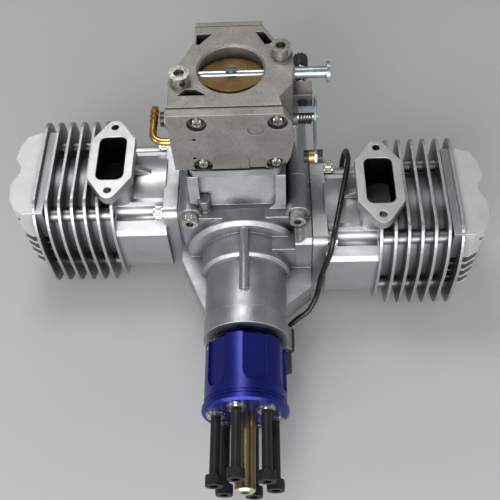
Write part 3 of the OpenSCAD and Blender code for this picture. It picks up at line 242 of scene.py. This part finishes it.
def turned_metal(name, tone, rough, scale, depth=0.2, tint=None, metal=1.0):
    """Machined metal with fine tool marks across one direction."""
    s = Shader(name)
    marks = s.marks(*scale)
    colour = s.drift(s.noise(90, 2, 0.5), tone, tint or scaled(tone, 0.72), 0.3, 0.75)
    # painted shade in gaps and corners
    s.surface(s.paint_shade_and_highlights(colour, 0.004, 0.35), s.ramp(marks, 0.25, 0.75, rough - 0.06, rough + 0.12), metal)
    s.bump(marks, depth, 0.00006)
    return s.material


def moulded(name, tone, rough=0.5, grain=1500, depth=0.3):
    """Moulded plastic, rubber, gasket sheet or glazed ceramic."""
    s = Shader(name)
    spots = s.noise(grain, 3, 0.6)
    paler = tuple(min(1, 1.4 * c + 0.004) for c in tone)
    s.surface(s.drift(s.noise(70, 2, 0.5), tone, paler), s.ramp(spots, 0.3, 0.7, rough - 0.08, rough + 0.1))
    s.bump(spots, depth, 0.00008)
    return s.material


def cylinder_metal(name):
    """Die-cast cylinder: blasted barrel, paler head plates, a milled exhaust face, painted shade in the fin gaps
    and inside the ports, and painted highlights on sharp edges.
    """
    s = Shader(name)
    cloud = s.noise(45, 3, 0.6)
    grain = s.noise(1700, 4, 0.65)
    body = s.drift(cloud, (0.60, 0.61, 0.62), (0.50, 0.51, 0.52))
    head = s.drift(cloud, (0.78, 0.78, 0.78), (0.70, 0.70, 0.70))
    milled = s.mix(s.marks(80, 900, 80), (0.63, 0.63, 0.62), (0.52, 0.52, 0.52))
    across = s.math("ABSOLUTE", s.axis("X"))
    at_head = s.ramp(across, BARREL_END_X, HEAD_START_X, 0.0, 1.0)
    at_face = s.math("GREATER_THAN", s.axis("Z"), MILLED_Z)
    colour = s.mix(at_face, s.mix(at_head, body, head), milled)
    # painted shade in the fin gaps, and painted highlights along sharp edges
    colour = s.paint_shade_and_highlights(colour, 0.011, 0.27, (0.92, 0.92, 0.92))
    # The cylinders are staggered, so each port's middle is measured from its own cylinder's axis
    stagger = s.math("MULTIPLY", s.math("SIGN", s.axis("X")), -CYL_OFFSET)
    along = s.math("SUBTRACT", s.axis("Y"), stagger)
    inside = s.math("MULTIPLY", s.within(across, PORT_X, PORT_HALF_X), s.within(along, -MOUNT, PORT_HALF_Y))
    # painted shade: the ports' insides are painted near black below the milled face
    port_shade = s.math("MULTIPLY", inside, s.ramp(s.axis("Z"), PORT_SHADE_FULL_Z, PORT_SHADE_END_Z, 1.0, 0.0))
    rough = s.math("ADD", s.ramp(s.noise(130, 3, 0.6), 0.3, 0.7, 0.36, 0.46), s.math("MULTIPLY", at_head, 0.16))
    s.surface(s.mix(port_shade, colour, (0.035, 0.032, 0.03)), rough, 1.0)
    grained = s.bump(grain, 0.45, 0.00012, before=s.edges(0.0005))
    s.bump(s.noise(230, 2, 0.5), 0.2, 0.0005, before=grained)
    return s.material


def anodised(name):
    """Dyed anodising under a thin gloss, with turning marks."""
    s = Shader(name)
    marks = s.marks(90, 1400, 90)
    colour = s.drift(s.noise(60, 2, 0.5), (0.010, 0.018, 0.24), (0.008, 0.013, 0.17))
    s.surface(colour, s.ramp(marks, 0.25, 0.75, 0.34, 0.48), 0.8)
    s.bsdf.inputs["Coat Weight"].default_value = 0.25
    s.bsdf.inputs["Coat Roughness"].default_value = 0.25
    s.bump(marks, 0.12, 0.00005)
    return s.material


def plated(name, tone, other, rough=0.3):
    """Plating, brass or wire: the colour drifts in soft patches."""
    s = Shader(name)
    colour = s.drift(s.noise(160, 3, 0.6), tone, other, 0.35, 0.65)
    smear = s.ramp(s.noise(300, 3, 0.6), 0.3, 0.7, rough - 0.04, rough + 0.06)
    # painted shade in gaps and corners
    s.surface(s.paint_shade_and_highlights(colour, 0.003, 0.4), smear, 1.0)
    s.bump(s.noise(700, 2, 0.5), 0.12, 0.00003)
    return s.material


def streaked_zinc():
    """Yellow zinc on the stud: olive and amber streaks along it, and a bright end face."""
    s = Shader("yellow zinc")
    streaks = s.marks(900, 14, 900)
    colour = s.drift(streaks, (0.40, 0.33, 0.17), (0.24, 0.16, 0.08), 0.35, 0.65)
    at_end = s.math("LESS_THAN", s.axis("Y"), STUD_END_Y)
    s.surface(s.mix(at_end, colour, (0.72, 0.68, 0.52)), s.ramp(streaks, 0.25, 0.75, 0.26, 0.4), 1.0)
    s.bump(streaks, 0.1, 0.00004)
    return s.material


def capped_shaft():
    """Steel throttle shaft with a black cap on the end beyond the carburettor's left side."""
    s = Shader("capped shaft")
    cap = s.math("LESS_THAN", s.axis("X"), SHAFT_CAP_X)
    marks = s.marks(90, 900, 900)
    steel = s.mix(marks, (0.62, 0.61, 0.58), (0.48, 0.47, 0.45))
    s.surface(s.mix(cap, steel, (0.022, 0.022, 0.024)), s.ramp(marks, 0.3, 0.7, 0.24, 0.4),
              s.math("SUBTRACT", 1.0, cap))
    s.bump(marks, 0.1, 0.00004)
    return s.material


def link_bush():
    """Black cap and screw with a brass bush between them, beside the lever."""
    s = Shader("link bush")
    bush = s.within(s.axis("X"), BUSH_X, BUSH_HALF)
    spots = s.noise(1500, 3, 0.6)
    black = s.drift(s.noise(70), (0.018, 0.018, 0.019), (0.04, 0.04, 0.042))
    s.surface(s.mix(bush, black, (0.55, 0.36, 0.12)), s.ramp(spots, 0.3, 0.7, 0.28, 0.42), bush)
    s.bump(spots, 0.2, 0.00005)
    return s.material


finish = {
    "cast_case": cast_metal("case casting", (0.49, 0.505, 0.515), (0.39, 0.405, 0.415), lip_y=LIP_Y),
    "cast_cylinder": cylinder_metal("cylinder casting"),
    "cast_carb": cast_metal("carburettor casting", (0.40, 0.385, 0.36), (0.29, 0.275, 0.255), 0.56, 1300, 1.0),
    "plate_metal": turned_metal("milled plate", (0.70, 0.70, 0.69), 0.32, (60, 60, 900)),
    "post_metal": turned_metal("turned post", (0.66, 0.67, 0.68), 0.3, (90, 1200, 90)),
    "screw_steel": turned_metal("bright screw steel", (0.72, 0.71, 0.67), 0.22, (500, 500, 500), 0.1,
                                (0.55, 0.54, 0.50)),
    "black_steel": turned_metal("black oxide steel", (0.020, 0.020, 0.022), 0.46, (600, 90, 600), 0.3,
                                (0.012, 0.012, 0.013), 0.5),
    "blue_hub": anodised("blue anodise"),
    "zinc_lever": plated("bluish zinc", (0.53, 0.59, 0.63), (0.43, 0.49, 0.54)),
    "stud_zinc": streaked_zinc(),
    "brass": plated("brass", (0.60, 0.38, 0.12), (0.48, 0.28, 0.08), 0.26),
    "choke_brass": plated("dull brass", (0.40, 0.25, 0.10), (0.31, 0.19, 0.08), 0.46),
    "spring_wire": plated("brown spring wire", (0.23, 0.20, 0.17), (0.16, 0.14, 0.12), 0.34),
    "capped_shaft": capped_shaft(),
    "link_bush": link_bush(),
    "gasket": moulded("gasket sheet", (0.018, 0.018, 0.019), 0.6),
    "reed_plastic": moulded("reed block", (0.02, 0.02, 0.022)),
    "crank_steel": turned_metal("ground steel", (0.50, 0.50, 0.51), 0.22, (120, 900, 120), 0.1),
    "piston_metal": turned_metal("piston", (0.56, 0.56, 0.57), 0.34, (900, 120, 120)),
    "ring_iron": turned_metal("ring iron", (0.24, 0.24, 0.245), 0.36, (900, 120, 120)),
    "ceramic": moulded("glazed ceramic", (0.80, 0.79, 0.75), 0.16, 300, 0.05),
    "black_plastic": moulded("black moulding", (0.020, 0.020, 0.021), 0.42),
    "lead_rubber": moulded("lead rubber", (0.004, 0.004, 0.004), 0.3, 900, 0.2),
    "magnet_plate": turned_metal("nickel plate", (0.66, 0.65, 0.63), 0.2, (300, 300, 300), 0.05),
}

# Nodes whose looks differ from the rest of their slot
OWN_FINISH = {"choke_plate": "choke_brass", "throttle_link": "link_bush", "throttle_shaft": "capped_shaft"}

for node_name, node_object in cad.items():
    material = finish[OWN_FINISH.get(node_name, slot_of[node_name])]
    node_object.data.materials.clear()
    node_object.data.materials.append(material)


# Lead

LEAD_RADIUS = 0.0015
LEAD_ROUTE = [
    (0.0189, -0.137, -0.0225), (0.0189, -0.135, -0.0225), (0.0189, -0.133, -0.0225), (0.0215, -0.127, -0.022),
    (0.0275, -0.122, -0.0198), (0.0345, -0.118, -0.0165), (0.0393, -0.112, -0.009), (0.041, -0.1085, 0.002),
    (0.0433, -0.107, 0.013), (0.0458, -0.1048, 0.0228), (0.0475, -0.0993, 0.0303), (0.0503, -0.0875, 0.032),
    (0.053, -0.075, 0.0335), (0.056, -0.0615, 0.034), (0.058, -0.0505, 0.033), (0.0579, -0.042, 0.030),
    (0.0575, -0.0365, 0.023), (0.057, -0.034, 0.012), (0.0575, -0.0325, 0.0), (0.060, -0.031, -0.012),
    (0.064, -0.0285, -0.024), (0.069, -0.024, -0.0315), (0.076, -0.0175, -0.0348), (0.084, -0.013, -0.0349),
    (0.092, -0.011, -0.0349), (0.099, -0.011, -0.0349), (0.106, -0.011, -0.0349)]


def smooth_route(route, steps):
    """The same curve through the points as the solid lead follows."""
    points = []
    for i in range(len(route) - 1):
        a, b, c, d = (Vector(route[k]) for k in (max(i - 1, 0), i, i + 1, min(i + 2, len(route) - 1)))
        for k in range(steps):
            t = k / steps
            points.append(0.5 * (2 * b + (c - a) * t + (2 * a - 5 * b + 4 * c - d) * t * t
                                 + (3 * b - a - 3 * c + d) * t * t * t))
    return points + [Vector(route[-1])]


def sensor_lead():
    points = smooth_route(LEAD_ROUTE, 4)
    data = bpy.data.curves.new("sensor_cable", "CURVE")
    data.dimensions = "3D"
    data.bevel_depth = LEAD_RADIUS
    data.bevel_resolution = 4
    data.use_fill_caps = True
    spline = data.splines.new("POLY")
    spline.points.add(len(points) - 1)
    for place, point in zip(spline.points, points):
        place.co = (*point, 1.0)
    cable = bpy.data.objects.new("sensor_cable", data)
    data.materials.append(finish["lead_rubber"])
    bpy.context.scene.collection.objects.link(cable)
    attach(cable, "engine")
    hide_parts("sensor_lead")


sensor_lead()


# Small repeated parts: each kind is a Geometry Nodes tree, set out on its places

def at_engine(x, y, z):
    """A point given in millimetres from the middle plane, in metres from the mounting face."""
    return Vector((x / 1000, y / 1000 - MOUNT, z / 1000))


def about_shaft(angle, radius, y):
    """A point at that radius and angle about the crank axis, in millimetres from the middle plane."""
    turn = math.radians(angle)
    return at_engine(radius * math.cos(turn), y, -radius * math.sin(turn))


def seats(name, places):
    """A carrier mesh: a vertex for each place, with the turn that sets a copy's +Z along its axis."""
    mesh = bpy.data.meshes.new(name)
    mesh.from_pydata([tuple(place) for place, _ in places], [], [])
    turn = mesh.attributes.new("turn", "FLOAT_VECTOR", "POINT")
    for seat, (_, axis) in zip(turn.data, places):
        seat.vector = Vector(axis).to_track_quat("Z", "Y").to_euler()
    carrier = bpy.data.objects.new(name, mesh)
    bpy.context.scene.collection.objects.link(carrier)
    return carrier


class Growth(Tree):
    """A Geometry Nodes tree with named inputs."""

    def __init__(self, name, inputs):
        self.tree = bpy.data.node_groups.new(name, "GeometryNodeTree")
        self.ids = {}
        self.tree.interface.new_socket(name="Geometry", in_out="INPUT", socket_type="NodeSocketGeometry")
        for label, kind in (*inputs, ("Finish", "Material")):
            made = self.tree.interface.new_socket(name=label, in_out="INPUT", socket_type="NodeSocket" + kind)
            self.ids[label] = made.identifier
        self.tree.interface.new_socket(name="Geometry", in_out="OUTPUT", socket_type="NodeSocketGeometry")
        self.start = self.node("NodeGroupInput")
        self.end = self.node("NodeGroupOutput")

    def given(self, label):
        return self.start.outputs[label]

    def point(self, x, y, z):
        return self.node("ShaderNodeCombineXYZ", {0: x, 1: y, 2: z}).outputs[0]

    def swept(self, curve, section, closed=False):
        made = self.node("GeometryNodeCurveToMesh",
                         {"Curve": curve.outputs[0], "Profile Curve": section.outputs[0], "Fill Caps": closed})
        return made.outputs[0]

    def wound(self, turns, steps, sides, thick):
        """A rod of that many sides, wound round +Z on the given radius and length, with closed ends."""
        radius = self.given("Radius")
        spiral = self.node("GeometryNodeCurveSpiral",
                           {"Resolution": steps, "Rotations": turns, "Start Radius": radius,
                            "End Radius": radius, "Height": self.given("Length")})
        section = self.node("GeometryNodeCurvePrimitiveCircle", {"Resolution": sides, "Radius": thick},
                            mode="RADIUS")
        return self.swept(spiral, section, closed=True)

    def set_out(self, shape, smooth=False):
        """Puts the shape on every seat, as a real mesh in the given finish."""
        turn = self.node("GeometryNodeInputNamedAttribute", {"Name": "turn"}, data_type="FLOAT_VECTOR")
        points = self.node("GeometryNodeMeshToPoints", {"Mesh": self.given("Geometry")})
        put = self.node("GeometryNodeInstanceOnPoints",
                        {"Points": points.outputs[0], "Instance": shape, "Rotation": turn.outputs[0]})
        real = self.node("GeometryNodeRealizeInstances", {"Geometry": put.outputs[0]})
        shade = self.node("GeometryNodeSetShadeSmooth", {"Geometry": real.outputs[0], "Shade Smooth": smooth})
        painted = self.node("GeometryNodeSetMaterial",
                            {"Geometry": shade.outputs[0], "Material": self.given("Finish")})
        self.feed(self.end.inputs[0], painted.outputs[0])


def knurl_tree():
    """A ring round a screw head, pressed in and out by its angle about Z, so that it has straight teeth."""
    g = Growth("knurled ring", [("Radius", "Float"), ("Start", "Float"), ("Length", "Float"),
                                ("Teeth", "Int"), ("Tooth", "Float"), ("Wall", "Float")])
    teeth, wall, length = g.given("Teeth"), g.given("Wall"), g.given("Length")
    middle = g.math("SUBTRACT", g.given("Radius"), g.math("MULTIPLY", wall, 0.5))
    line = g.node("GeometryNodeCurvePrimitiveCircle",
                  {"Resolution": g.math("MULTIPLY", teeth, 4), "Radius": middle}, mode="RADIUS")
    section = g.node("GeometryNodeCurvePrimitiveQuadrilateral", {"Width": wall, "Height": length},
                     mode="RECTANGLE")
    ring = g.swept(line, section)
    place = g.node("ShaderNodeSeparateXYZ", {"Vector": g.node("GeometryNodeInputPosition").outputs[0]})
    x, y = place.outputs[0], place.outputs[1]
    radius = g.math("SQRT", g.math("ADD", g.math("MULTIPLY", x, x), g.math("MULTIPLY", y, y)))
    wave = g.math("COSINE", g.math("MULTIPLY", g.math("ARCTAN2", y, x), teeth))
    press = g.math("MULTIPLY", g.math("SUBTRACT", wave, 1.0), g.math("MULTIPLY", g.given("Tooth"), 0.5))
    outside = g.math("GREATER_THAN", radius, middle)
    share = g.math("DIVIDE", g.math("MULTIPLY", press, outside), radius)
    rise = g.math("ADD", g.given("Start"), g.math("MULTIPLY", length, 0.5))
    shift = g.point(g.math("MULTIPLY", x, share), g.math("MULTIPLY", y, share), rise)
    moved = g.node("GeometryNodeSetPosition", {"Geometry": ring, "Offset": shift})
    g.set_out(moved.outputs[0])
    return g


def thread_tree():
    """A thread's ridge: a triangular section wound along a shank."""
    g = Growth("thread ridge", [("Radius", "Float"), ("Pitch", "Float"), ("Length", "Float"), ("Ridge", "Float")])
    turns = g.math("DIVIDE", g.given("Length"), g.given("Pitch"))
    g.set_out(g.wound(turns, steps=24, sides=3, thick=g.given("Ridge")))
    return g


def spring_tree():
    """A coil of round wire."""
    g = Growth("wire coil", [("Radius", "Float"), ("Turns", "Float"), ("Length", "Float"), ("Wire", "Float")])
    g.set_out(g.wound(g.given("Turns"), steps=40, sides=12, thick=g.given("Wire")), smooth=True)
    return g


def grow(name, growth, places, body, slot, **values):
    """Runs a tree on its seats and keeps the result as one plain mesh that rides on the body."""
    carrier = seats(name + "_seats", places)
    modifier = carrier.modifiers.new("growth", "NODES")
    modifier.node_group = growth.tree
    for label, value in values.items():
        modifier[growth.ids[label.capitalize()]] = value
    modifier[growth.ids["Finish"]] = finish[slot]
    bpy.context.view_layer.update()
    evaluated = carrier.evaluated_get(bpy.context.evaluated_depsgraph_get())
    mesh = bpy.data.meshes.new_from_object(evaluated)
    bpy.data.objects.remove(carrier)
    shape = bmesh.new()
    shape.from_mesh(mesh)
    bmesh.ops.recalc_face_normals(shape, faces=shape.faces)
    for face in shape.faces:
        face.material_index = 0
    shape.to_mesh(mesh)
    shape.free()
    mesh.materials.clear()
    mesh.materials.append(finish[slot])
    mesh.name = name
    piece = bpy.data.objects.new(name, mesh)
    bpy.context.scene.collection.objects.link(piece)
    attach(piece, body)
    return piece


knurl = knurl_tree()
thread = thread_tree()
coil = spring_tree()

# Where they sit, as in the CAD: lengths in millimetres, and y from the middle plane
SIDES = (-1, 1)                         # left and right
STAGGER = 1000 * CYL_OFFSET
CASE_SCREW_X, CASE_HEAD_Y, CASE_SCREW_Z = 29, -22.9, 30
BASE_HEAD_X, BASE_SCREW_Y, BASE_SCREW_Z = 44.8, 24.4, 22.8
HUB_FACE_Y, BOLT_SHANK_OUT = -124, 31.2
BOLT_CIRCLE_R, FIRST_BOLT_ANGLE = 15, -44.4
IDLE_SCREW_X, IDLE_SCREW_Z = 32, 79
IDLE_THREAD_Y, IDLE_SPRING_Y = 12, 22.5
THROTTLE_SPRING = (30.15, 16.3, 64.5)
PLUG_END_X, PLUG_END_Y, PLUG_LEAN = 120.4, 41.1, (0.5, 0.866)
LEAD_SLEEVE = (18.9, -75.6, -22.5)
FORWARD, BACKWARD = (0, -1, 0), (0, 1, 0)

case_heads = [(at_engine(side * CASE_SCREW_X, CASE_HEAD_Y, level * CASE_SCREW_Z), FORWARD)
              for side in SIDES for level in (-1, 1)]
base_heads = [(at_engine(side * BASE_HEAD_X, -side * STAGGER + dy, dz), (side, 0, 0))
              for side in SIDES for dy in (-BASE_SCREW_Y, BASE_SCREW_Y) for dz in (-BASE_SCREW_Z, BASE_SCREW_Z)]
bolt_heads = [(about_shaft(FIRST_BOLT_ANGLE - 60 * i, BOLT_CIRCLE_R, HUB_FACE_Y - BOLT_SHANK_OUT), FORWARD)
              for i in range(6)]
plug_ends = [(at_engine(side * PLUG_END_X, PLUG_END_Y - side * STAGGER, 0), (side * PLUG_LEAN[0], PLUG_LEAN[1], 0))
             for side in SIDES]

M5_HEAD = 0.00425                       # radius of an M5 cap screw's head, in metres

for name, places, body, slot in (
        ("case_screw_knurls", case_heads, "engine", slot_of["case_screws"]),
        ("base_screw_knurls", base_heads, "engine", slot_of["base_screws"]),
        ("prop_bolt_knurls", bolt_heads, "crank", slot_of["prop_bolts"])):
    grow(name, knurl, places, body, slot, radius=M5_HEAD + 0.00012, start=0.0007, length=0.0034,
         teeth=30, tooth=0.00016, wall=0.0004)

grow("idle_screw_thread", thread, [(at_engine(IDLE_SCREW_X, IDLE_THREAD_Y, IDLE_SCREW_Z), BACKWARD)], "idle",
     slot_of["idle_screw"], radius=0.00195, pitch=0.0005, length=0.0235, ridge=0.00016)
idle_coil = grow("idle_screw_spring", coil,
                 [(at_engine(IDLE_SCREW_X, IDLE_SPRING_Y, IDLE_SCREW_Z), BACKWARD)], "engine",
                 slot_of["idle_spring"], radius=0.0029, turns=7.0, length=0.013, wire=0.00045)
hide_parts("idle_spring")
throttle_coil = grow("throttle_return_spring", coil, [(at_engine(*THROTTLE_SPRING), (1, 0, 0))], "engine",
                     slot_of["throttle_spring"], radius=0.0042, turns=5.0, length=0.0072, wire=0.0005)
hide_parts("throttle_spring")
throttle_coil.data.materials[0] = finish["spring_wire"]

grow("plug_terminal_threads", thread, plug_ends, "engine", slot_of["plug_shells"],
     radius=0.00294, pitch=0.0006, length=0.0032, ridge=0.0002)
grow("lead_sleeve", coil, [(at_engine(*LEAD_SLEEVE), BACKWARD)], "engine", "lead_rubber",
     radius=0.0016, turns=5.0, length=0.0045, wire=0.0004)


# Stage

FLOOR_REACH = 6.0
WORLD_TONE, WORLD_STRENGTH = (0.80, 0.81, 0.82, 1), 0.28
LIT_POINT = Vector((0, -0.06, 0))
SOFTBOXES = (                           # name, place, width, height, watts
    ("low front softbox", (-0.1, -1.2, 0.36), 1.4, 0.5, 11.0),
    ("front softbox", (-0.2, -0.8, 0.6), 0.35, 0.35, 2.6),
    ("top softbox", (-0.15, 0.3, 0.85), 0.30, 0.30, 2.6),
    ("right softbox", (0.85, -0.35, 0.3), 0.35, 0.35, 1.6),
    ("left softbox", (-0.85, -0.35, 0.3), 0.35, 0.35, 1.6))


def pale_floor():
    mesh = bpy.data.meshes.new("floor")
    corners = ((-1, -1), (1, -1), (1, 1), (-1, 1))
    mesh.from_pydata([(x * FLOOR_REACH, y * FLOOR_REACH, BENCH) for x, y in corners], [], [(0, 1, 2, 3)])
    floor = bpy.data.objects.new("floor", mesh)
    bpy.context.scene.collection.objects.link(floor)
    s = Shader("pale floor")
    s.surface(s.mix(s.noise(3, 2, 0.5), (0.50, 0.50, 0.50), (0.47, 0.47, 0.475)), 0.8)
    mesh.materials.append(s.material)


def studio_light():
    world = bpy.data.worlds.new("studio")
    bpy.context.scene.world = world
    world.use_nodes = True
    background = world.node_tree.nodes["Background"]
    background.inputs["Color"].default_value = WORLD_TONE
    background.inputs["Strength"].default_value = WORLD_STRENGTH
    for name, place, wide, high, power in SOFTBOXES:
        data = bpy.data.lights.new(name, "AREA")
        data.shape = "RECTANGLE"
        data.size = wide
        data.size_y = high
        data.energy = power
        lamp = bpy.data.objects.new(name, data)
        lamp.location = place
        lamp.rotation_mode = "QUATERNION"
        lamp.rotation_quaternion = (LIT_POINT - Vector(place)).to_track_quat("-Z", "Y")
        bpy.context.scene.collection.objects.link(lamp)


pale_floor()
studio_light()

bpy.context.scene.view_settings.view_transform = "Standard"
